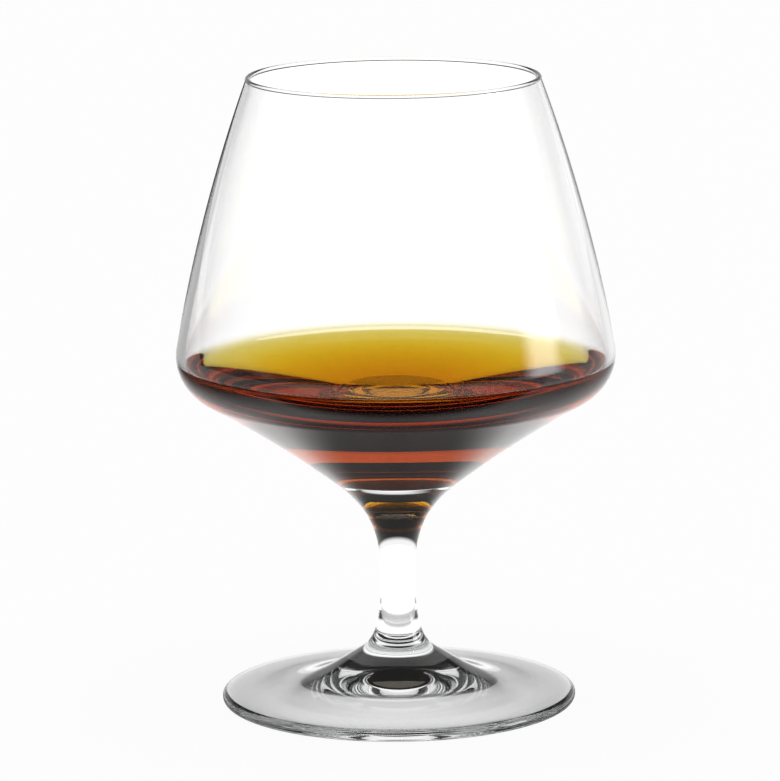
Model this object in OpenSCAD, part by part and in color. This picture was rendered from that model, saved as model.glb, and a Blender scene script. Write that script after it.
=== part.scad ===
// Brandy snifter: a blown bowl, a drawn stem and a pressed foot, fused end to end, holding a pour of brandy.
// Lengths are in millimetres and angles in degrees. The axis of the glass is Z, and the foot rests on Z = 0.
// Outlines are written as [radius, height] and turned round the axis.

/* [Bowl] */
// Height of the rim above the table
rim_z = 133; // [120:0.5:150]
// Outside diameter of the rim
rim_d = 61.6; // [54:0.1:70]
// Thickness of the bead that the fire leaves along the rim
bead_t = 1.05; // [1:0.05:1.8]
// Thickness of the wall under the bead
rim_t = 0.95; // [0.6:0.05:1]
// Outside diameter of the belly, the widest place
belly_d = 92.2; // [86:0.1:100]
// Height of the belly
belly_z = 74.6; // [70:0.1:80]
// Outside radius of the shoulder, which the belly turns round
shoulder_r = 10.4; // [7:0.1:14]
// Thickness of the wall round the shoulder
shoulder_t = 1.8; // [1:0.05:2.6]
// Lean of the wall from upright where it rises from the shoulder
wall_lean = 10.4; // [6:0.1:14]
// Slope of the underside where it leaves the shoulder
under_slope = 30; // [24:0.5:34]
// Height of the floor of the well inside the bowl
well_z = 48.8; // [47.4:0.1:52]
// Diameter of the floor of the well
well_d = 23; // [16:0.1:25]
// Radius of the fillet round the floor of the well
well_fillet_r = 2.5; // [1:0.1:8]

/* [Stem] */
// Outside diameter where the underside of the bowl begins to flare into the stem
neck_d = 27; // [22:0.1:32]
// Height where the underside of the bowl begins to flare into the stem
neck_z = 47.4; // [45:0.1:49]
// Diameter of the waist, the thinnest place of the stem
waist_d = 7.2; // [5:0.1:10]
// Height of the waist
waist_z = 26.3; // [22:0.1:32]

/* [Foot] */
// Diameter of the foot
foot_d = 74.7; // [66:0.1:84]
// Thickness of the foot at its rounded edge
edge_t = 2.4; // [1.6:0.05:3.2]
// Thickness of the plate where the cone of the foot rises from it
plate_t = 3.1; // [2.6:0.05:4.5]
// Diameter of the cone where it rises from the plate
cone_d = 41.5; // [36:0.1:48]
// Diameter of the cone at its top, where it flares into the stem
cone_top_d = 18.4; // [14:0.1:24]
// Slope of the cone
cone_slope = 31.8; // [26:0.1:36]
// Radius of the fillet between the plate and the cone
cone_fillet_r = 32; // [16:0.5:36]
// Width of the flat ring under the edge that the glass stands on
rest_w = 2.2; // [1:0.1:4]
// Rise of the hollow under the foot at its middle
hollow_rise = 5; // [1:0.1:6]

/* [Brandy] */
// Height of the level surface of the brandy
level_z = 72.3; // [60:0.1:84]
// Capillary length of the brandy, which sets how it climbs the wall
capillary_l = 1.2; // [0.8:0.05:2.4]
// Film of air kept between the brandy and the glass
film_t = 0.05; // [0.02:0.01:0.2]

/* [Hidden] */

// Handles of the two flares as shares of their height: at the wide end, then at the waist
neck_handle_shares = [0.44, 0.49];
root_handle_shares = [0.18, 0.81];
// Handles of the hollow as shares of its radius: at the resting ring, then at the middle
hollow_handle_shares = [0.4, 0.4];
// Places of the two seams as shares of the way down each flare
bowl_seam_share = 0.36;
foot_seam_share = 0.58;
// Inclination of the brandy where it meets the wall, and where its climb is taken to begin
climb_top = 65;
climb_foot = 1;
// Pieces in a long curve, a short curve and a full turn
long_steps = 28;
short_steps = 14;
turn_steps = 180;

// Curves

function heading(a) = [cos(a), sin(a)];

// Round arc about a centre, between two angles
function round_arc(centre, r, from, to, n) =
    [for (i = [0:n]) centre + r * heading(from + (to - from) * i / n)];

// Round arc that leaves p along an angle and ends at q, without p itself
function arc_to(p, along, q, n) =
    let (turn = 2 * turn_between(along, angle_of(q - p)))
    [for (i = [1:n]) p + norm(q - p) * arc_share(turn, i / n) * heading(along + turn * i / n / 2)];
function arc_share(turn, share) = turn == 0 ? share : sin(turn * share / 2) / sin(turn / 2);

function angle_of(v) = atan2(v.y, v.x);
function turn_between(from, to) = angle_of([cos(to - from), sin(to - from)]);

// Curve from p to q that leaves towards a and arrives from b, over the given shares of its way
function curve(p, a, b, q, from, to, n) =
    [for (i = [0:n]) curve_point(p, a, b, q, from + (to - from) * i / n)];
function curve_point(p, a, b, q, t) =
    pow(1 - t, 3) * p + 3 * pow(1 - t, 2) * t * a + 3 * (1 - t) * t * t * b + pow(t, 3) * q;

function backwards(points) = [for (i = [len(points) - 1:-1:0]) points[i]];
function without_first(points) = [for (i = [1:len(points) - 1]) points[i]];

// Bowl

shoulder_centre = [belly_d / 2 - shoulder_r, belly_z];
shoulder_low = under_slope - 90;
neck = [neck_d / 2, neck_z];

bead_r = bead_t / 2;
bead_centre = [rim_d / 2 - bead_r, rim_z - bead_r];
// Angle below level at which the bead runs into the wall
bead_turn = acos(rim_t / bead_t);

// Wall and shoulder of the bowl from the bead down, set in from the outside by t_rim and t_shoulder
function wall(t_rim, t_shoulder) =
    let (
        round = round_arc(shoulder_centre, shoulder_r - t_shoulder, shoulder_low, wall_lean, short_steps),
        top = round[short_steps],
        edge = bead_centre + bead_r * heading(-bead_turn) - [t_rim, 0]
    )
    backwards(concat(round, arc_to(top, wall_lean + 90, edge, long_steps)));

outer_wall = wall(0, 0);
outer_low = outer_wall[len(outer_wall) - 1];
underside = arc_to(outer_low, under_slope + 180, neck, long_steps);
// Slope at p of the arc that leaves the shoulder from low
function slope_at(p, low) = 2 * angle_of(low - p) - under_slope;
neck_slope = slope_at(neck, outer_low);

// Inside of the bowl from the bead down to the middle of the well's floor, set in by a film
function inside(film) =
    let (
        side = wall(rim_t + film, shoulder_t + film),
        low = side[len(side) - 1],
        slope = slope_at([well_d / 2, well_z], low),
        corner = [well_d / 2 - film * tan(slope / 2), well_z + film],
        reach = (well_fillet_r - film) * tan(slope / 2),
        start = corner + reach * heading(slope)
    )
    concat(
        side,
        arc_to(low, under_slope + 180, start, long_steps),
        arc_to(start, slope_at(start, low) + 180, corner - [reach, 0], short_steps),
        [[0, corner.y]]);

rim_bead = round_arc(bead_centre, bead_r, 180 + bead_turn, -bead_turn, short_steps);

// Stem

waist = [waist_d / 2, waist_z];
flare_h = neck_z - waist_z;

// Flare from the neck down to the waist, over the given shares of its way
function neck_flare(from, to) =
    curve(
        neck,
        neck + neck_handle_shares[0] * flare_h * heading(neck_slope + 180),
        waist + [0, neck_handle_shares[1] * flare_h],
        waist, from, to, short_steps);

// Foot

edge_r = edge_t / 2;
edge_top = [foot_d / 2 - edge_r, edge_t];
cone_low = [cone_d / 2, plate_t];
cone_top = cone_low + (cone_d - cone_top_d) / 2 * [-1, tan(cone_slope)];
root_h = waist_z - cone_top.y;

// Flare from the waist down to the cone, over the given shares of its way
function root_flare(from, to) =
    curve(
        waist,
        waist - [0, root_handle_shares[1] * root_h],
        cone_top + root_handle_shares[0] * root_h * heading(180 - cone_slope),
        cone_top, from, to, short_steps);

// Fillet where the cone meets the plate, from the cone outwards
plate_slope = angle_of([edge_top.x - cone_low.x, edge_top.y - cone_low.y]);
fillet_turn = cone_slope + plate_slope;
fillet_reach = cone_fillet_r * tan(fillet_turn / 2);
fillet_start = cone_low + fillet_reach * heading(180 - cone_slope);
fillet_end = cone_low + fillet_reach * heading(plate_slope);
fillet = arc_to(fillet_start, -cone_slope, fillet_end, short_steps);

foot_edge = round_arc([edge_top.x, edge_r], edge_r, 90, -90, short_steps);
rest_in = [edge_top.x - rest_w, 0];
hollow = curve(
    rest_in,
    rest_in - [hollow_handle_shares[0] * rest_in.x, 0],
    [hollow_handle_shares[1] * rest_in.x, hollow_rise],
    [0, hollow_rise], 0, 1, long_steps);

// Brandy

// Surface of the brandy where it climbs the wall, by the law of a liquid drawn up a flat wall
function climb_x(a) = capillary_l * (ln(tan(a / 4)) + 2 * cos(a / 2));
function climb_h(a) = 2 * capillary_l * sin(a / 2);
function climb_angle(share) = climb_top * pow(climb_foot / climb_top, share);

contact_z = level_z + climb_h(climb_top);
brandy_side = inside(film_t);
contact_r = lookup(contact_z, [for (p = brandy_side) [p.y, p.x]]);
climb = [
    for (i = [0:short_steps])
    let (a = climb_angle(i / short_steps))
    [contact_r - climb_x(climb_top) + climb_x(a), level_z + climb_h(a)]
];

// Sub-parts

module turned(outline) {
    rotate_extrude($fn = turn_steps) polygon(outline);
}

module bowl() {
    flare = neck_flare(0, bowl_seam_share);
    color("aliceblue", 0.4)
        turned(concat(
            backwards(inside(0)),
            without_first(rim_bead),
            without_first(outer_wall),
            underside,
            without_first(flare),
            [[0, flare[short_steps].y]]));
}

module stem() {
    top = neck_flare(bowl_seam_share, 1);
    low = root_flare(0, foot_seam_share);
    color("lightcyan", 0.4)
        turned(concat([[0, top[0].y]], top, without_first(low), [[0, low[short_steps].y]]));
}

module foot() {
    flare = root_flare(foot_seam_share, 1);
    color("lightgray", 0.4)
        turned(concat([[0, flare[0].y]], flare, [fillet_start], fillet, foot_edge, hollow));
}

module brandy() {
    color("goldenrod", 0.8)
        turned(concat(
            [[0, level_z]],
            backwards(climb),
            [for (p = brandy_side) if (p.y < contact_z) p]));
}

bowl();
stem();
foot();
brandy();
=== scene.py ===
"""Brandy snifter: a blown bowl, a drawn stem and a pressed foot of clear glass, and its brandy."""
import math

import bpy
from mathutils import Matrix, Vector


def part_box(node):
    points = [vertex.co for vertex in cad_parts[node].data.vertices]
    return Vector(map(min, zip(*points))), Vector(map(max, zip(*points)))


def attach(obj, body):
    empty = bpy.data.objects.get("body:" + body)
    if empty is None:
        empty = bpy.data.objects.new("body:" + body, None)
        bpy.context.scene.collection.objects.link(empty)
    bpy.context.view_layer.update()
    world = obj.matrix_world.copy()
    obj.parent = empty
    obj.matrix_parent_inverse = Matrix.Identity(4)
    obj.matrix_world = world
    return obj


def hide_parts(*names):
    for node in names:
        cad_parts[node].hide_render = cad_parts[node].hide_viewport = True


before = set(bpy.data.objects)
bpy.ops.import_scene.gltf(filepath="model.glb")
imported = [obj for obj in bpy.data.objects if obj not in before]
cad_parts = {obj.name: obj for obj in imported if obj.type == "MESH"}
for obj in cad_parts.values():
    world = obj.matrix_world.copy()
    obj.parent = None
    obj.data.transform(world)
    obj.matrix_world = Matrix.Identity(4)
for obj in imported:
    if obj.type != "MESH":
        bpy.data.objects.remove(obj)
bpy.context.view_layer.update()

bl_info = {
    "name": "Brandy Snifter",
    "version": (1, 0, 0),
    "blender": (4, 5, 0),
    "location": "View3D > Sidebar > Snifter",
    "description": "Models a brandy snifter with its pour of brandy, and the stage it stands on",
    "category": "Add Mesh",
}

BOWL_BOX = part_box("bowl")
STEM_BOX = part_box("stem")
FOOT_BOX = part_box("foot")

# Refractive indices, and the index step where two pieces meet with nothing between them
GLASS_INDEX = 1.5
BRANDY_INDEX = 1.36
NO_STEP = 1.0001

# Gap left between faces that touch, so that a ray leaves one piece before it enters the next
TOUCH_GAP = 5e-6
# Drop of the floor below the foot, so that light leaves the foot before it meets the floor
FLOOR_DROP = 2e-5
# Reach within which points become one, and the sharpest turn that is shaded smooth
WELD_REACH = 2e-7
CREASE_ANGLE = math.radians(35)
# Upright share of a normal, past which its face counts as level
LEVEL_SHARE = 0.999

# Points in a long curve, a short curve, a full turn and the edge of the floor
LONG_STEPS = 64
SHORT_STEPS = 40
TURN_STEPS = 192
FLOOR_STEPS = 128

# Handles of the two flares as shares of their height: at the wide end, then at the waist
NECK_HANDLES = (0.44, 0.49)
ROOT_HANDLES = (0.18, 0.81)
# Handles of the hollow as shares of its radius: at the resting ring, then at the middle
HOLLOW_HANDLES = (0.4, 0.4)
# Inclination of the brandy where its climb is taken to begin
CLIMB_FOOT = math.radians(0.5)

# Stretch of the waves that the fire leaves on each kind of glass
BLOWN_STRETCH = (1.0, 1.0, 0.4)
DRAWN_STRETCH = (1.0, 1.0, 0.2)
PRESSED_STRETCH = (1.0, 1.0, 1.0)

# Count of mirrorings, past which light has been mirrored at least once
NOT_MIRRORED = 0.5
# Most turns that light takes on its way, and most of them that may be mirrored
LIGHT_BOUNCES = 32
MIRROR_BOUNCES = 24


# Properties

def length(name, description, default):
    return bpy.props.FloatProperty(
        name=name, description=description, default=default, min=0.0, precision=4, unit="LENGTH")


def angle(name, description, degrees):
    return bpy.props.FloatProperty(
        name=name, description=description, default=math.radians(degrees), subtype="ANGLE")


def share(name, description, default):
    return bpy.props.FloatProperty(
        name=name, description=description, default=default, min=0.0, max=1.0, subtype="FACTOR")


def amount(name, description, default):
    return bpy.props.FloatProperty(name=name, description=description, default=default, min=0.0)


def colour(name, description, default):
    return bpy.props.FloatVectorProperty(
        name=name, description=description, default=default, min=0.0, max=1.0, size=3,
        subtype="COLOR")


class SnifterBowlSizes(bpy.types.PropertyGroup):
    """Sizes of the blown bowl."""
    rim_height: length("Rim height", "Height of the rim above the table", BOWL_BOX[1].z)
    rim_width: length("Rim width", "Outside diameter of the rim", 0.0616)
    rim_thickness: length(
        "Rim thickness", "Thickness of the wall under the bead of the rim", 0.00095)
    bead_width: length(
        "Bead width", "Thickness of the bead that the fire leaves along the rim", 0.00105)
    belly_width: length(
        "Belly width", "Outside diameter at the widest place", BOWL_BOX[1].x - BOWL_BOX[0].x)
    belly_height: length("Belly height", "Height of the widest place", 0.0746)
    shoulder_radius: length("Shoulder radius", "Outside radius that the belly turns round", 0.0104)
    shoulder_thickness: length(
        "Shoulder thickness", "Thickness of the wall round the shoulder", 0.0018)
    wall_lean: angle(
        "Wall lean", "Lean of the wall from upright where it rises from the shoulder", 10.4)
    under_slope: angle(
        "Underside slope", "Slope of the underside where it leaves the shoulder", 30.0)
    well_height: length("Well height", "Height of the floor of the well inside", 0.0488)
    well_width: length("Well width", "Diameter of the floor of the well inside", 0.023)
    well_fillet: length("Well fillet", "Radius between the floor of the well and its side", 0.0025)


class SnifterStemSizes(bpy.types.PropertyGroup):
    """Sizes of the drawn stem and of the flares at its two ends."""
    neck_width: length(
        "Neck width", "Diameter where the underside of the bowl begins to flare", 0.027)
    neck_height: length(
        "Neck height", "Height where the underside of the bowl begins to flare", 0.0474)
    waist_width: length("Waist width", "Diameter of the thinnest place", 0.0072)
    waist_height: length("Waist height", "Height of the thinnest place", 0.0263)
    top_seam: length("Top seam", "Height where the stem is fused to the bowl", STEM_BOX[1].z)
    foot_seam: length("Foot seam", "Height where the stem is fused to the foot", STEM_BOX[0].z)


class SnifterFootSizes(bpy.types.PropertyGroup):
    """Sizes of the pressed foot."""
    width: length("Width", "Diameter of the foot", FOOT_BOX[1].x - FOOT_BOX[0].x)
    edge_thickness: length("Edge thickness", "Thickness at the rounded edge", 0.0024)
    plate_thickness: length(
        "Plate thickness", "Thickness where the cone rises from the plate", 0.0031)
    cone_width: length("Cone width", "Diameter where the cone rises from the plate", 0.0415)
    cone_top_width: length("Cone top width", "Diameter where the cone flares into the stem", 0.0184)
    cone_slope: angle("Cone slope", "Slope of the cone", 31.8)
    cone_fillet: length("Cone fillet", "Radius between the plate and the cone", 0.032)
    rest_width: length("Rest width", "Width of the flat ring that the glass stands on", 0.0022)
    hollow_rise: length("Hollow rise", "Rise of the hollow under the foot at its middle", 0.005)


class SnifterGlassLook(bpy.types.PropertyGroup):
    """Finish of the clear glass."""
    tint: colour("Tint", "What is left of white light in thick glass", (0.5, 0.55, 0.53))
    density: amount("Density", "Strength of the tint for each metre of glass", 6.0)
    ripple_size: length("Ripple size", "Width of the faint waves left by the fire", 0.012)
    ripple_depth: length("Ripple depth", "Height of the faint waves left by the fire", 4e-6)
    mirror_height: length(
        "Mirror height", "Height below which the glass is not mirrored by other glass", 0.0475)


class SnifterBrandyLook(bpy.types.PropertyGroup):
    """Level, climb and colour of the brandy."""
    level: length("Level", "Height of the level surface", 0.0723)
    capillary: length("Capillary length", "Length that sets how the brandy climbs the wall", 0.0012)
    climb_top: angle("Climb", "Inclination of the surface where it meets the wall", 65.0)
    hue: colour("Hue", "What is left of white light in deep brandy", (0.95, 0.835, 0.04))
    density: amount("Density", "Strength of the colour for each metre of brandy", 265.0)


class SnifterStageLook(bpy.types.PropertyGroup):
    """Floor, light and camera."""
    floor_radius: length("Floor radius", "Radius of the round floor", 3.0)
    floor_colour: colour("Floor colour", "Colour of the floor", (0.9, 0.9, 0.9))
    floor_glow: share(
        "Floor glow", "Share of the floor's brightness that no shadow takes away", 0.95)
    studio_colour: colour(
        "Studio colour", "Colour of all that lies round the floor", (0.8, 0.8, 0.8))
    field: amount(
        "Bright field", "Brightness of the floor and the horizon as the glass shows them", 1.24)
    room: amount("Room", "Brightness of the room above the horizon through the glass", 0.02)
    room_top: amount("Room overhead", "Brightness overhead through the glass", 0.15)
    side_left: amount(
        "Left side", "Brightness of the horizon at the left for light that is turned back", 0.02)
    side_right: amount("Right side", "Brightness at the right for light that is turned back", 0.4)
    floor_left: amount(
        "Floor at the left", "Brightness of the floor at the left for such light", 0.55)
    mirror_room: amount("Mirrored room", "Brightness of the room in reflections", 0.03)
    mirror_back: amount(
        "Mirrored backdrop", "Brightness of the backdrop behind in reflections", 0.7)
    mirror_left: amount("Mirrored left", "Brightness of the left side in reflections", 0.1)
    mirror_right: amount("Mirrored right", "Brightness of the right side in reflections", 0.5)
    window_glow: amount("Window", "Brightness of the window at the right in reflections", 10.0)
    window_turn: angle(
        "Window direction", "Direction of the window, from straight behind to the right", 96.0)
    window_half: angle("Window half width", "Angle from the middle of the window to its side", 10.0)
    window_soft: angle("Window softness", "Angle by which the window's edges are soft", 6.0)
    window_low: angle("Window bottom", "Elevation of the bottom of the window", 2.0)
    window_high: angle("Window top", "Elevation of the top of the window", 36.0)
    top_glow: amount("Top light", "Brightness of the soft light overhead", 3.0)
    camera_back: length("Camera distance", "Level distance from the axis to the camera", 1.0599)
    camera_height: length("Camera height", "Height of the camera above the table", 0.27265)
    camera_pitch: angle("Camera pitch", "Angle by which the camera looks down", 11.01)
    camera_roll: angle("Camera roll", "Angle by which the picture is turned", 0.557)
    camera_turn: angle("Camera turn", "Angle by which the camera looks to the left", 0.07)
    lens: bpy.props.FloatProperty(
        name="Lens", description="Focal length on a 36 mm frame", default=237.25, unit="CAMERA")


# Outlines, as points of radius and height

def heading(turn):
    return Vector((math.cos(turn), math.sin(turn)))


def angle_of(step):
    return math.atan2(step.y, step.x)


def round_arc(centre, radius, start, end, steps=SHORT_STEPS):
    """Arc about a centre, between two angles."""
    return [centre + radius * heading(start + (end - start) * i / steps) for i in range(steps + 1)]


def arc_to(begin, along, end, steps=LONG_STEPS):
    """Arc that leaves begin along an angle and ends at end, without its first point."""
    chord = end - begin
    turn = 2 * angle_of(heading(angle_of(chord) - along))
    points = []
    for i in range(1, steps + 1):
        part = i / steps
        reach = math.sin(turn * part / 2) / math.sin(turn / 2) if turn else part
        points.append(begin + chord.length * reach * heading(along + turn * part / 2))
    return points


def curve(begin, towards, arriving, end):
    """Curve that leaves begin towards one handle and reaches end from another."""
    points = []
    for i in range(LONG_STEPS + 1):
        t = i / LONG_STEPS
        s = 1 - t
        points.append(
            s ** 3 * begin + 3 * s * s * t * towards + 3 * s * t * t * arriving + t ** 3 * end)
    return points


def cut_at(outline, height):
    """The two parts of an outline that crosses a height once, both with the point of crossing."""
    for i, (a, b) in enumerate(zip(outline, outline[1:])):
        if (a.y - height) * (b.y - height) <= 0 and a.y != b.y:
            crossing = a.lerp(b, (height - a.y) / (b.y - a.y))
            return outline[:i + 1] + [crossing], [crossing] + outline[i + 1:]
    raise RuntimeError("the outline never crosses the height that it is cut at")


def shoulder_centre(bowl):
    return Vector((bowl.belly_width / 2 - bowl.shoulder_radius, bowl.belly_height))


def bead_angle(bowl):
    """Angle below level at which the rim's bead runs into the wall."""
    return math.acos(bowl.rim_thickness / bowl.bead_width)


def bead_centre(bowl):
    return Vector((bowl.rim_width - bowl.bead_width, 2 * bowl.rim_height - bowl.bead_width)) / 2


def bowl_wall(bowl, rim_inset, shoulder_inset):
    """Wall and shoulder from the rim's bead down, set in from the outside."""
    low = bowl.under_slope - math.pi / 2
    radius = bowl.shoulder_radius - shoulder_inset
    turn = round_arc(shoulder_centre(bowl), radius, low, bowl.wall_lean, LONG_STEPS)
    bead_edge = bead_centre(bowl) + bowl.bead_width / 2 * heading(-bead_angle(bowl))
    edge = bead_edge - Vector((rim_inset, 0.0))
    return (turn + arc_to(turn[-1], bowl.wall_lean + math.pi / 2, edge))[::-1]


def bowl_inside(bowl, film=0.0):
    """Inside of the bowl from the rim's bead to the middle of the well, set in by a film."""
    side = bowl_wall(bowl, bowl.rim_thickness + film, bowl.shoulder_thickness + film)
    low = side[-1]
    floor = Vector((bowl.well_width / 2, bowl.well_height))
    slope = 2 * angle_of(low - floor) - bowl.under_slope
    corner = floor + film * Vector((-math.tan(slope / 2), 1.0))
    reach = (bowl.well_fillet - film) * math.tan(slope / 2)
    start = corner + reach * heading(slope)
    arriving = 2 * angle_of(low - start) - bowl.under_slope
    under = arc_to(low, bowl.under_slope + math.pi, start)
    fillet = arc_to(start, arriving + math.pi, corner - Vector((reach, 0.0)), SHORT_STEPS)
    return side + under + fillet + [Vector((0.0, corner.y))]


def rim_bead(bowl):
    """Fire-polished bead, from the inside over the top to the outside."""
    below = bead_angle(bowl)
    return round_arc(bead_centre(bowl), bowl.bead_width / 2, math.pi + below, -below)


def neck_point(stem):
    return Vector((stem.neck_width / 2, stem.neck_height))


def waist_point(stem):
    return Vector((stem.waist_width / 2, stem.waist_height))


def neck_flare(bowl, stem):
    """Flare from the neck, where the underside of the bowl ends, down to the waist."""
    neck, waist = neck_point(stem), waist_point(stem)
    rise = neck.y - waist.y
    low = bowl_wall(bowl, 0.0, 0.0)[-1]
    slope = 2 * angle_of(low - neck) - bowl.under_slope
    towards = neck + NECK_HANDLES[0] * rise * heading(slope + math.pi)
    arriving = waist + Vector((0.0, NECK_HANDLES[1] * rise))
    return curve(neck, towards, arriving, waist)


def cone_corner(foot):
    """Where the cone would meet the plate without its fillet."""
    return Vector((foot.cone_width / 2, foot.plate_thickness))


def cone_top(foot):
    run = (foot.cone_width - foot.cone_top_width) / 2
    return cone_corner(foot) + Vector((-run, run * math.tan(foot.cone_slope)))


def root_flare(stem, foot):
    """Flare from the waist down to the cone of the foot."""
    waist, top = waist_point(stem), cone_top(foot)
    rise = waist.y - top.y
    towards = waist - Vector((0.0, ROOT_HANDLES[1] * rise))
    arriving = top + ROOT_HANDLES[0] * rise * heading(math.pi - foot.cone_slope)
    return curve(waist, towards, arriving, top)


def bowl_outline(bowl, stem, contact):
    """Closed outline of the bowl, with a point where the brandy's edge meets the inside."""
    dry, wet = cut_at(bowl_inside(bowl), contact)
    outer = bowl_wall(bowl, 0.0, 0.0)
    under = arc_to(outer[-1], bowl.under_slope + math.pi, neck_point(stem))
    seam = stem.top_seam + TOUCH_GAP / 2
    flare = cut_at(neck_flare(bowl, stem), seam)[0]
    inside = wet[::-1] + dry[-2::-1]
    return inside + rim_bead(bowl)[1:] + outer[1:] + under + flare[1:] + [Vector((0.0, seam))]


def stem_outline(bowl, stem, foot):
    """Closed outline of the stem, from the seam under the bowl down to the seam on the foot."""
    high, low = stem.top_seam - TOUCH_GAP / 2, stem.foot_seam + TOUCH_GAP / 2
    upper = cut_at(neck_flare(bowl, stem), high)[1]
    lower = cut_at(root_flare(stem, foot), low)[0]
    return [Vector((0.0, high))] + upper + lower[1:] + [Vector((0.0, low))]


def foot_outline(stem, foot):
    """Closed outline of the foot: cone, fillet, plate, round edge, resting ring and hollow."""
    seam = stem.foot_seam - TOUCH_GAP / 2
    flare = cut_at(root_flare(stem, foot), seam)[1]
    half = foot.edge_thickness / 2
    edge_top = Vector((foot.width / 2 - half, foot.edge_thickness))
    corner = cone_corner(foot)
    fall = angle_of(edge_top - corner)
    reach = foot.cone_fillet * math.tan((foot.cone_slope + fall) / 2)
    fillet_start = corner + reach * heading(math.pi - foot.cone_slope)
    fillet = arc_to(fillet_start, -foot.cone_slope, corner + reach * heading(fall), SHORT_STEPS)
    edge = round_arc(Vector((edge_top.x, half)), half, math.pi / 2, -math.pi / 2)
    rest_in = Vector((edge_top.x - foot.rest_width, 0.0))
    towards = rest_in - Vector((HOLLOW_HANDLES[0] * rest_in.x, 0.0))
    arriving = Vector((HOLLOW_HANDLES[1] * rest_in.x, foot.hollow_rise))
    hollow = curve(rest_in, towards, arriving, Vector((0.0, foot.hollow_rise)))[1:]
    return [Vector((0.0, seam))] + flare + [fillet_start] + fillet + edge + [rest_in] + hollow


def contact_height(brandy):
    """Height at which the edge of the brandy stops climbing the wall."""
    return brandy.level + 2 * brandy.capillary * math.sin(brandy.climb_top / 2)


def brandy_outline(bowl, brandy):
    """Closed outline of the brandy: its level, its climb up the wall and its wetted side."""
    contact = contact_height(brandy)
    side = cut_at(bowl_inside(bowl, TOUCH_GAP), contact)[1]

    def climb(tilt):
        run = math.log(math.tan(tilt / 4)) + 2 * math.cos(tilt / 2)
        return brandy.capillary * Vector((run, 2 * math.sin(tilt / 2)))

    foot_of_climb = Vector((side[0].x, brandy.level)) - Vector((climb(brandy.climb_top).x, 0.0))
    spread = brandy.climb_top / CLIMB_FOOT
    tilts = [CLIMB_FOOT * spread ** (i / SHORT_STEPS) for i in range(SHORT_STEPS)]
    rise = [foot_of_climb + climb(tilt) for tilt in tilts]
    return [Vector((0.0, brandy.level))] + rise + side


# Meshes

def turned(name, outline):
    """Draws an outline as a chain of edges, point after point, and spins it round the axis."""
    bpy.ops.object.select_all(action="DESELECT")
    bpy.ops.mesh.primitive_circle_add(vertices=3, radius=TOUCH_GAP, enter_editmode=True)
    bpy.ops.mesh.merge(type="CENTER")
    bpy.ops.transform.translate(value=(outline[0].x, 0.0, outline[0].y))
    for here, there in zip(outline, outline[1:]):
        step = there - here
        bpy.ops.mesh.extrude_vertices_move(TRANSFORM_OT_translate={"value": (step.x, 0.0, step.y)})
    bpy.ops.mesh.select_all(action="SELECT")
    bpy.ops.mesh.spin(
        steps=TURN_STEPS, angle=2 * math.pi, center=(0.0, 0.0, 0.0), axis=(0.0, 0.0, 1.0))
    bpy.ops.mesh.select_all(action="SELECT")
    bpy.ops.mesh.remove_doubles(threshold=WELD_REACH)
    bpy.ops.mesh.normals_make_consistent(inside=False)
    bpy.ops.object.mode_set(mode="OBJECT")
    bpy.ops.object.shade_smooth_by_angle(angle=CREASE_ANGLE)
    piece = bpy.context.object
    piece.name = piece.data.name = name
    expected = (len(outline) - 2) * TURN_STEPS + 2
    if len(piece.data.vertices) != expected:
        raise RuntimeError(f"{name} has {len(piece.data.vertices)} points instead of {expected}")
    return piece


def faces_axis(centre, normal):
    return centre.xy.dot(normal.xy) < 0


def faces_out(centre, normal):
    return centre.xy.dot(normal.xy) > WELD_REACH


def mark_refraction(piece, index_at):
    """Stores on each face the index of what lies behind it over that of what lies before it."""
    layer = piece.data.attributes.new("refraction", "FLOAT", "FACE")
    indices = [index_at(face.center, face.normal) for face in piece.data.polygons]
    layer.data.foreach_set("value", indices)


def finish_piece(piece, node, material):
    piece.data.materials.append(material)
    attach(piece, "root")
    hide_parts(node)


# Materials

class NodeSums:
    """Adds nodes that do sums to a tree. Values are numbers or the outputs of other nodes."""

    def __init__(self, tree):
        self.tree = tree

    def feed(self, socket, value):
        if isinstance(value, bpy.types.NodeSocket):
            self.tree.links.new(value, socket)
        else:
            socket.default_value = value

    def sum(self, operation, *values):
        node = self.tree.nodes.new("ShaderNodeMath")
        node.operation = operation
        for socket, value in zip(node.inputs, values):
            self.feed(socket, value)
        return node.outputs["Value"]

    def product(self, first, *others):
        for other in others:
            first = self.sum("MULTIPLY", first, other)
        return first

    def least(self, first, *others):
        for other in others:
            first = self.sum("MINIMUM", first, other)
        return first

    def step(self, value, low, high, begin=0.0, end=1.0):
        """Goes smoothly from begin to end while the value goes from low to high."""
        node = self.tree.nodes.new("ShaderNodeMapRange")
        node.interpolation_type = "SMOOTHSTEP"
        settings = {
            "Value": value, "From Min": low, "From Max": high, "To Min": begin, "To Max": end}
        for key, setting in settings.items():
            self.feed(node.inputs[key], setting)
        return node.outputs["Result"]

    def fade(self, value, low, high):
        """Goes smoothly from one to nothing while the value goes from low to high."""
        return self.step(value, low, high, 1.0, 0.0)

    def mix(self, part, without, with_it):
        node = self.tree.nodes.new("ShaderNodeMix")
        for key, value in {"Factor": part, "A": without, "B": with_it}.items():
            self.feed(node.inputs[key], value)
        return node.outputs["Result"]

    def axes(self, place):
        node = self.tree.nodes.new("ShaderNodeSeparateXYZ")
        self.feed(node.inputs["Vector"], place)
        return node.outputs["X"], node.outputs["Y"], node.outputs["Z"]


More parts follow.
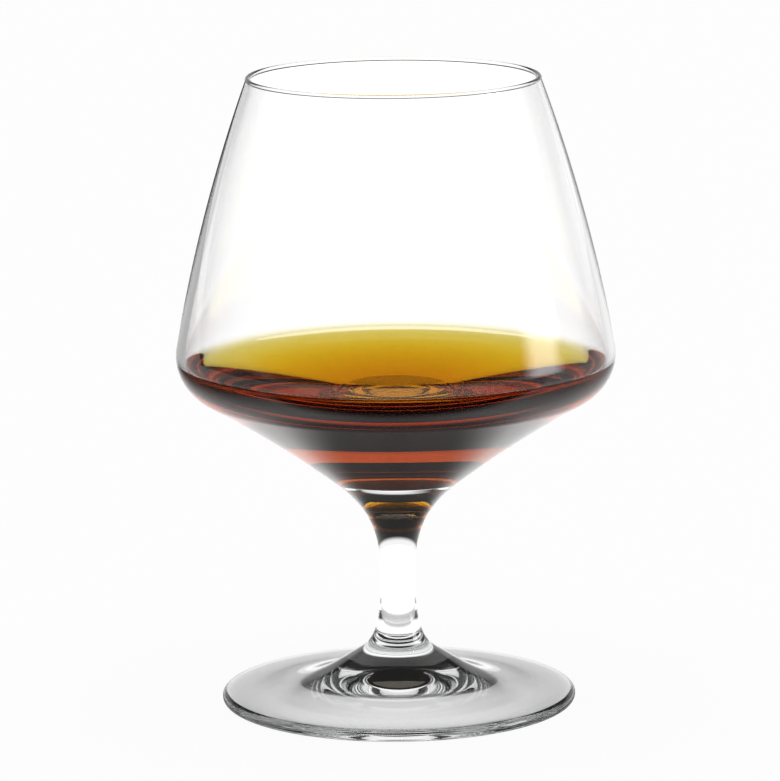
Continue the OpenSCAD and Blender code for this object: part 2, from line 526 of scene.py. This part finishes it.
def ripple_group():
    """Height of the faint waves that the fire leaves on glass, in metres."""
    name = "fire_ripple"
    if name in bpy.data.node_groups:
        return bpy.data.node_groups[name]
    tree = bpy.data.node_groups.new(name, "ShaderNodeTree")
    tree.interface.new_socket("Vector", in_out="INPUT", socket_type="NodeSocketVector")
    tree.interface.new_socket("Size", in_out="INPUT", socket_type="NodeSocketFloat")
    tree.interface.new_socket("Depth", in_out="INPUT", socket_type="NodeSocketFloat")
    tree.interface.new_socket("Height", in_out="OUTPUT", socket_type="NodeSocketFloat")
    sums = NodeSums(tree)
    start = tree.nodes.new("NodeGroupInput")
    end = tree.nodes.new("NodeGroupOutput")
    waves = tree.nodes.new("ShaderNodeTexNoise")
    waves.inputs["Detail"].default_value = 1.0
    sums.feed(waves.inputs["Vector"], start.outputs["Vector"])
    sums.feed(waves.inputs["Scale"], sums.sum("DIVIDE", 1.0, start.outputs["Size"]))
    sums.feed(end.inputs["Height"], sums.product(waves.outputs["Fac"], start.outputs["Depth"]))
    return tree


def add_ripple(tree, shader, look, stretch):
    """Adds the faint waves to a surface, stretched along the axes."""
    place = tree.nodes.new("ShaderNodeTexCoord")
    mapping = tree.nodes.new("ShaderNodeMapping")
    mapping.inputs["Scale"].default_value = stretch
    ripple = tree.nodes.new("ShaderNodeGroup")
    ripple.node_tree = ripple_group()
    ripple.inputs["Size"].default_value = look.ripple_size
    ripple.inputs["Depth"].default_value = look.ripple_depth
    bump = tree.nodes.new("ShaderNodeBump")
    bump.inputs["Distance"].default_value = 1.0
    tree.links.new(place.outputs["Object"], mapping.inputs["Vector"])
    tree.links.new(mapping.outputs["Vector"], ripple.inputs["Vector"])
    tree.links.new(ripple.outputs["Height"], bump.inputs["Height"])
    tree.links.new(bump.outputs["Normal"], shader.inputs["Normal"])


def hide_from_mirrors(tree, shader, height):
    """Lets mirrored light pass straight through all below a height, so that nothing mirrors it."""
    sums = NodeSums(tree)
    path = tree.nodes.new("ShaderNodeLightPath")
    side = tree.nodes.new("ShaderNodeNewGeometry")
    place = tree.nodes.new("ShaderNodeTexCoord")
    mirrored = sums.sum("GREATER_THAN", path.outputs["Glossy Depth"], NOT_MIRRORED)
    outside = sums.sum("SUBTRACT", 1.0, side.outputs["Backfacing"])
    below = sums.sum("LESS_THAN", sums.axes(place.outputs["Object"])[2], height)
    # After an odd count of faces that it passed straight through, light is inside and has to leave
    inside = sums.sum("MODULO", path.outputs["Transparent Depth"], 2.0)
    passing = sums.sum("MAXIMUM", sums.product(mirrored, outside, below), inside)
    thin = tree.nodes.new("ShaderNodeBsdfTransparent")
    mix = tree.nodes.new("ShaderNodeMixShader")
    tree.links.new(passing, mix.inputs["Fac"])
    tree.links.new(shader.outputs["BSDF"], mix.inputs[1])
    tree.links.new(thin.outputs["BSDF"], mix.inputs[2])
    tree.links.new(mix.outputs["Shader"], tree.nodes["Material Output"].inputs["Surface"])


def clear_material(name, tint, density):
    """Clear tinted body, whose index of refraction is stored on its faces."""
    material = bpy.data.materials.new(name)
    material.use_nodes = True
    tree = material.node_tree
    shader = tree.nodes["Principled BSDF"]
    shader.inputs["Base Color"].default_value = (1.0, 1.0, 1.0, 1.0)
    shader.inputs["Roughness"].default_value = 0.0
    shader.inputs["Transmission Weight"].default_value = 1.0
    index = tree.nodes.new("ShaderNodeAttribute")
    index.attribute_name = "refraction"
    tree.links.new(index.outputs["Fac"], shader.inputs["IOR"])
    body = tree.nodes.new("ShaderNodeVolumeAbsorption")
    body.inputs["Color"].default_value = (*tint, 1.0)
    body.inputs["Density"].default_value = density
    tree.links.new(body.outputs["Volume"], tree.nodes["Material Output"].inputs["Volume"])
    return material


def glass_material(name, stretch):
    """Clear glass with the fire's faint waves on it."""
    look = bpy.context.scene.snifter_glass
    material = clear_material(name, look.tint, look.density)
    tree = material.node_tree
    shader = tree.nodes["Principled BSDF"]
    add_ripple(tree, shader, look, stretch)
    hide_from_mirrors(tree, shader, look.mirror_height)
    return material


# Stage. Each pair of numbers says where a change of brightness begins and where it is complete.

# Directions, from straight behind to the right, for light that the glass has turned back
RIGHT_FALL = (math.radians(15), math.radians(50))
LEFT_RISE = (math.radians(-30), math.radians(-3))
FRONT_RISE = (math.radians(110), math.radians(140))

# Floor in reflections, with the share of its brightness that is left under the foot
MIRROR_FRONT_Y = (-0.09, -0.05)
MIRROR_LEFT_X = (-0.2, -0.06)
MIRROR_RIGHT_X = (0.06, 0.2)
MIRROR_FOOT_RADIUS = (0.03, 0.08)
MIRROR_FOOT_SHARE = 0.18

# Floor through the glass, with its brightness under the front and the back of the foot
UNDER_RADIUS = (0.034, 0.039)
UNDER_Y = (-0.03, -0.01)
UNDER_FRONT = 1.0
UNDER_BACK = 0.8

# Floor for light that the glass has turned back: far away, in a ring under the cone, and near,
# where a lane behind the foot stays bright
FAR_RADIUS = (0.15, 0.35)
RING_START = (0.010, 0.016)
RING_END = (0.026, 0.030)
RING_BACK_Y = (0.0, 0.008)
RING_BACK = 1.0
RING_FRONT_Y = (-0.008, 0.0)
RING_FRONT = 0.05
NEAR_END = (0.05, 0.07)
NEAR = 0.02
LANE_SIDE = (0.012, 0.018)
LANE_START = (0.030, 0.034)
LANE_END = (0.041, 0.045)

# Sines of elevation in the world
HORIZON_TOP = (0.03, 0.1)
ROOM_TOP_START = (0.5, 0.8)
BACKDROP_TOP = (0.25, 0.4)
TOP_LIGHT_START = (0.75, 0.9)
# Level directions in the world, as shares of straight behind and of straight to the right
BEHIND = (0.6, 0.9)
IN_FRONT = (-0.6, -0.2)
LEFT_TO_RIGHT = (-0.2, 0.2)
# Least square of a level length, so that nothing is divided by zero
LEAST_SQUARE = 1e-8


def field_beside(sums, turn, stage, left_side):
    """Brightness round the horizon for light that the glass has turned back: less at the sides."""
    right = sums.step(turn, *RIGHT_FALL, stage.field, stage.side_right)
    left = sums.step(turn, *LEFT_RISE, left_side, stage.field)
    front = sums.step(sums.sum("ABSOLUTE", turn), *FRONT_RISE, 0.0, stage.field)
    return sums.sum("MAXIMUM", sums.least(right, left), front)


def floor_mirrored(sums, x, y, radius, stage):
    """Brightness of the floor in reflections: dark in front and under the foot, dim beside it."""
    front = sums.step(y, *MIRROR_FRONT_Y, stage.mirror_room, stage.field)
    left = sums.step(x, *MIRROR_LEFT_X, stage.mirror_left, stage.field)
    right = sums.step(x, *MIRROR_RIGHT_X, stage.field, stage.mirror_right)
    shade = sums.step(radius, *MIRROR_FOOT_RADIUS, MIRROR_FOOT_SHARE, 1.0)
    return sums.product(sums.least(front, left, right), shade)


def floor_through(sums, y, radius, stage):
    """Brightness of the floor through the glass: a little lower under the foot, more so behind."""
    under = sums.step(y, *UNDER_Y, UNDER_FRONT, UNDER_BACK)
    return sums.step(radius, *UNDER_RADIUS, under, stage.field)


def floor_turned_back(sums, x, y, radius, stage):
    """Brightness of the floor for light that the glass has turned back at least once."""
    beside = field_beside(sums, sums.sum("ARCTAN2", x, y), stage, stage.floor_left)
    level = sums.mix(sums.step(radius, *FAR_RADIUS), stage.field, beside)
    ring = sums.product(sums.step(radius, *RING_START), sums.fade(radius, *RING_END))
    level = sums.mix(sums.product(ring, sums.step(y, *RING_BACK_Y)), level, RING_BACK)
    level = sums.mix(sums.product(ring, sums.fade(y, *RING_FRONT_Y)), level, RING_FRONT)
    across = sums.fade(sums.sum("ABSOLUTE", x), *LANE_SIDE)
    lane = sums.product(across, sums.step(y, *LANE_START), sums.fade(y, *LANE_END))
    near = sums.product(sums.step(radius, *RING_END), sums.fade(radius, *NEAR_END))
    return sums.mix(sums.product(near, sums.sum("SUBTRACT", 1.0, lane)), level, NEAR)


def by_path(sums, path, through, turned_back, mirrored):
    """Chooses a brightness by the way that the light has come; to the camera it is full."""
    came_back = sums.sum("GREATER_THAN", path.outputs["Glossy Depth"], NOT_MIRRORED)
    level = sums.mix(came_back, through, turned_back)
    level = sums.mix(path.outputs["Is Reflection Ray"], level, mirrored)
    return sums.mix(path.outputs["Is Camera Ray"], level, 1.0)


def floor_material(stage):
    """Pale floor that looks white, keeps the shadow and gives the glass its bright field."""
    material = bpy.data.materials.new("pale_floor")
    material.use_nodes = True
    tree = material.node_tree
    tree.nodes.clear()
    sums = NodeSums(tree)
    place = tree.nodes.new("ShaderNodeTexCoord")
    path = tree.nodes.new("ShaderNodeLightPath")
    x, y, _ = sums.axes(place.outputs["Object"])
    radius = sums.sum("SQRT", sums.sum("ADD", sums.product(x, x), sums.product(y, y)))
    through = floor_through(sums, y, radius, stage)
    turned_back = floor_turned_back(sums, x, y, radius, stage)
    mirrored = floor_mirrored(sums, x, y, radius, stage)
    level = by_path(sums, path, through, turned_back, mirrored)
    matt = tree.nodes.new("ShaderNodeBsdfDiffuse")
    matt.inputs["Color"].default_value = (*stage.floor_colour, 1.0)
    glow = tree.nodes.new("ShaderNodeEmission")
    tree.links.new(level, glow.inputs["Strength"])
    in_view = sums.product(path.outputs["Is Camera Ray"], stage.floor_glow)
    in_glass = sums.sum(
        "MAXIMUM", path.outputs["Is Glossy Ray"], path.outputs["Is Transmission Ray"])
    glowing = sums.sum("MAXIMUM", in_view, in_glass)
    mix = tree.nodes.new("ShaderNodeMixShader")
    output = tree.nodes.new("ShaderNodeOutputMaterial")
    tree.links.new(glowing, mix.inputs["Fac"])
    tree.links.new(matt.outputs["BSDF"], mix.inputs[1])
    tree.links.new(glow.outputs["Emission"], mix.inputs[2])
    tree.links.new(mix.outputs["Shader"], output.inputs["Surface"])
    return material


def make_floor(stage):
    bpy.ops.object.select_all(action="DESELECT")
    bpy.ops.mesh.primitive_circle_add(
        vertices=FLOOR_STEPS, radius=stage.floor_radius, fill_type="NGON",
        location=(0.0, 0.0, -FLOOR_DROP))
    floor = bpy.context.object
    floor.name = floor.data.name = "floor"
    floor.data.materials.append(floor_material(stage))


def window(sums, turn, rise, stage):
    """Brightness of the soft window at the right."""
    soft = stage.window_soft
    off = sums.sum("ABSOLUTE", sums.sum("SUBTRACT", turn, stage.window_turn))
    across = sums.fade(off, stage.window_half - soft, stage.window_half + soft)
    elevation = sums.sum("ARCSINE", rise)
    above = sums.step(elevation, stage.window_low - soft, stage.window_low + soft)
    below = sums.fade(elevation, stage.window_high - soft, stage.window_high + soft)
    return sums.product(across, above, below, stage.window_glow)


def horizon_mirrored(sums, aside, ahead, stage):
    """Brightness of the horizon in reflections: bright behind, dim at the sides, dark in front."""
    sides = sums.step(aside, *LEFT_TO_RIGHT, stage.mirror_left, stage.mirror_right)
    around = sums.mix(sums.step(ahead, *BEHIND), sides, stage.field)
    return sums.mix(sums.step(ahead, *IN_FRONT), stage.mirror_room, around)


def make_world(stage):
    """Pale to the camera; to the glass a bright horizon, a dark room above and a window."""
    world = bpy.data.worlds.new("studio")
    bpy.context.scene.world = world
    world.use_nodes = True
    tree = world.node_tree
    tree.nodes.clear()
    sums = NodeSums(tree)
    place = tree.nodes.new("ShaderNodeTexCoord")
    path = tree.nodes.new("ShaderNodeLightPath")
    x, y, rise = sums.axes(place.outputs["Generated"])
    level_square = sums.sum("SUBTRACT", 1.0, sums.product(rise, rise))
    level_length = sums.sum("SQRT", sums.sum("MAXIMUM", level_square, LEAST_SQUARE))
    aside, ahead = sums.sum("DIVIDE", x, level_length), sums.sum("DIVIDE", y, level_length)
    turn = sums.sum("ARCTAN2", x, y)
    horizon = sums.step(rise, *HORIZON_TOP, stage.field, stage.room)
    turned_back = sums.least(horizon, field_beside(sums, turn, stage, stage.side_left))
    room_top = sums.step(rise, *ROOM_TOP_START, 0.0, stage.room_top)
    through = sums.sum("MAXIMUM", horizon, room_top)
    around = horizon_mirrored(sums, aside, ahead, stage)
    mirrored = sums.mix(sums.fade(rise, *HORIZON_TOP), stage.mirror_room, around)
    backdrop_height = sums.step(rise, *BACKDROP_TOP, stage.mirror_back, 0.0)
    backdrop = sums.product(backdrop_height, sums.step(ahead, *BEHIND))
    mirrored = sums.sum("MAXIMUM", mirrored, backdrop)
    mirrored = sums.sum("ADD", mirrored, window(sums, turn, rise, stage))
    level = by_path(sums, path, through, turned_back, mirrored)
    overhead = sums.step(rise, *TOP_LIGHT_START, 0.0, stage.top_glow)
    level = sums.mix(path.outputs["Is Diffuse Ray"], level, overhead)
    background = tree.nodes.new("ShaderNodeBackground")
    output = tree.nodes.new("ShaderNodeOutputWorld")
    background.inputs["Color"].default_value = (*stage.studio_colour, 1.0)
    tree.links.new(level, background.inputs["Strength"])
    tree.links.new(background.outputs["Background"], output.inputs["Surface"])


def make_camera(stage):
    data = bpy.data.cameras.new("camera")
    camera = bpy.data.objects.new("camera", data)
    bpy.context.scene.collection.objects.link(camera)
    data.lens = stage.lens
    camera.location = (0.0, -stage.camera_back, stage.camera_height)
    turn = (
        Matrix.Rotation(stage.camera_turn, 3, "Z")
        @ Matrix.Rotation(math.pi / 2 - stage.camera_pitch, 3, "X")
        @ Matrix.Rotation(-stage.camera_roll, 3, "Z")
    )
    camera.rotation_euler = turn.to_euler()
    bpy.context.scene.camera = camera


def set_view():
    """Shows colours as they are, and lets light pass through all the walls of the glass."""
    scene = bpy.context.scene
    scene.view_settings.view_transform = "Standard"
    scene.cycles.max_bounces = LIGHT_BOUNCES
    scene.cycles.transmission_bounces = LIGHT_BOUNCES
    scene.cycles.glossy_bounces = MIRROR_BOUNCES


# Operators

class SNIFTER_OT_bowl(bpy.types.Operator):
    """Blow the bowl"""
    bl_idname = "snifter.bowl"
    bl_label = "Blow the bowl"

    def execute(self, context):
        scene = context.scene
        contact = contact_height(scene.snifter_brandy)
        bowl = turned("blown_bowl", bowl_outline(scene.snifter_bowl, scene.snifter_stem, contact))
        seam = scene.snifter_stem.top_seam + TOUCH_GAP

        def index_at(centre, normal):
            if centre.z < seam:
                return NO_STEP
            if faces_axis(centre, normal) and centre.z < contact:
                return GLASS_INDEX / BRANDY_INDEX
            return GLASS_INDEX

        mark_refraction(bowl, index_at)
        finish_piece(bowl, "bowl", glass_material("blown_glass", BLOWN_STRETCH))
        return {"FINISHED"}


class SNIFTER_OT_stem(bpy.types.Operator):
    """Draw the stem"""
    bl_idname = "snifter.stem"
    bl_label = "Draw the stem"

    def execute(self, context):
        scene = context.scene
        sizes = scene.snifter_stem
        stem = turned("drawn_stem", stem_outline(scene.snifter_bowl, sizes, scene.snifter_foot))

        def index_at(centre, normal):
            return NO_STEP if abs(normal.z) > LEVEL_SHARE else GLASS_INDEX

        mark_refraction(stem, index_at)
        finish_piece(stem, "stem", glass_material("drawn_glass", DRAWN_STRETCH))
        return {"FINISHED"}


class SNIFTER_OT_foot(bpy.types.Operator):
    """Press the foot"""
    bl_idname = "snifter.foot"
    bl_label = "Press the foot"

    def execute(self, context):
        scene = context.scene
        foot = turned("pressed_foot", foot_outline(scene.snifter_stem, scene.snifter_foot))
        seam = scene.snifter_stem.foot_seam - TOUCH_GAP

        def index_at(centre, normal):
            return NO_STEP if centre.z > seam else GLASS_INDEX

        mark_refraction(foot, index_at)
        finish_piece(foot, "foot", glass_material("pressed_glass", PRESSED_STRETCH))
        return {"FINISHED"}


class SNIFTER_OT_brandy(bpy.types.Operator):
    """Pour the brandy"""
    bl_idname = "snifter.brandy"
    bl_label = "Pour the brandy"

    def execute(self, context):
        scene = context.scene
        look = scene.snifter_brandy
        brandy = turned("brandy_pour", brandy_outline(scene.snifter_bowl, look))

        def index_at(centre, normal):
            return BRANDY_INDEX if normal.z > 0 and not faces_out(centre, normal) else NO_STEP

        mark_refraction(brandy, index_at)
        finish_piece(brandy, "brandy", clear_material("brandy", look.hue, look.density))
        return {"FINISHED"}


class SNIFTER_OT_stage(bpy.types.Operator):
    """Set the floor, the light and the camera"""
    bl_idname = "snifter.stage"
    bl_label = "Set the stage"

    def execute(self, context):
        stage = context.scene.snifter_stage
        make_camera(stage)
        make_floor(stage)
        make_world(stage)
        set_view()
        return {"FINISHED"}


OPERATORS = (SNIFTER_OT_stage, SNIFTER_OT_bowl, SNIFTER_OT_stem, SNIFTER_OT_foot, SNIFTER_OT_brandy)
SETTINGS = {
    "snifter_bowl": SnifterBowlSizes,
    "snifter_stem": SnifterStemSizes,
    "snifter_foot": SnifterFootSizes,
    "snifter_glass": SnifterGlassLook,
    "snifter_brandy": SnifterBrandyLook,
    "snifter_stage": SnifterStageLook,
}


class SNIFTER_PT_panel(bpy.types.Panel):
    """Sizes, looks and steps of the snifter."""
    bl_idname = "SNIFTER_PT_panel"
    bl_label = "Brandy snifter"
    bl_space_type = "VIEW_3D"
    bl_region_type = "UI"
    bl_category = "Snifter"

    def draw(self, context):
        for setting, group in SETTINGS.items():
            box = self.layout.box()
            box.label(text=group.__doc__)
            for key in group.__annotations__:
                box.prop(getattr(context.scene, setting), key)
        for operator in OPERATORS:
            self.layout.operator(operator.bl_idname)


CLASSES = (*SETTINGS.values(), *OPERATORS, SNIFTER_PT_panel)


def register():
    for cls in CLASSES:
        bpy.utils.register_class(cls)
    for setting, group in SETTINGS.items():
        setattr(bpy.types.Scene, setting, bpy.props.PointerProperty(type=group))


def unregister():
    for setting in SETTINGS:
        delattr(bpy.types.Scene, setting)
    for cls in reversed(CLASSES):
        bpy.utils.unregister_class(cls)


def main():
    register()
    bpy.ops.snifter.stage()
    bpy.ops.snifter.bowl()
    bpy.ops.snifter.stem()
    bpy.ops.snifter.foot()
    bpy.ops.snifter.brandy()


if __name__ == "__main__":
    main()
